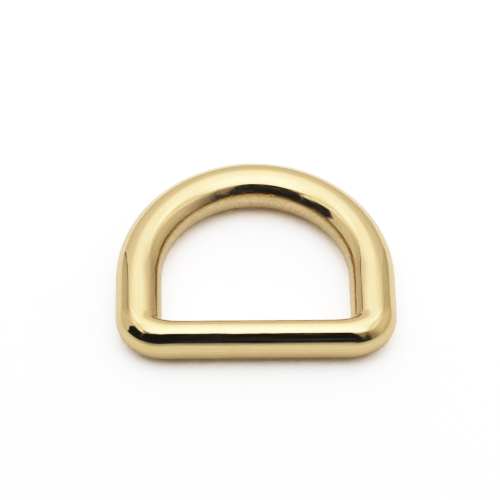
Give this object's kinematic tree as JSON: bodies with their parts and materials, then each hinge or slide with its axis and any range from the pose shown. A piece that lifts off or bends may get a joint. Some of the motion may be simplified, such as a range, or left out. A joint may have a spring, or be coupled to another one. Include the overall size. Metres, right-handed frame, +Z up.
{
  "type": "d ring",
  "caption": "Cast D-shaped strap ring: a round bow with straight legs, rounded outer corners and a narrower straight strap bar.",
  "frame": {"origin": "middle of the ring's box, seen from above, on the surface it lies on", "axes": "+X along the strap bar, +Y from the strap bar to the crown of the bow, +Z up from the surface it lies on"},
  "size_m": [0.0372, 0.033, 0.006],
  "materials": {
    "polished_brass": "mirror polished"
  },
  "bodies": {
    "root": {"d_ring": "polished_brass"}
  },
  "joints": []
}
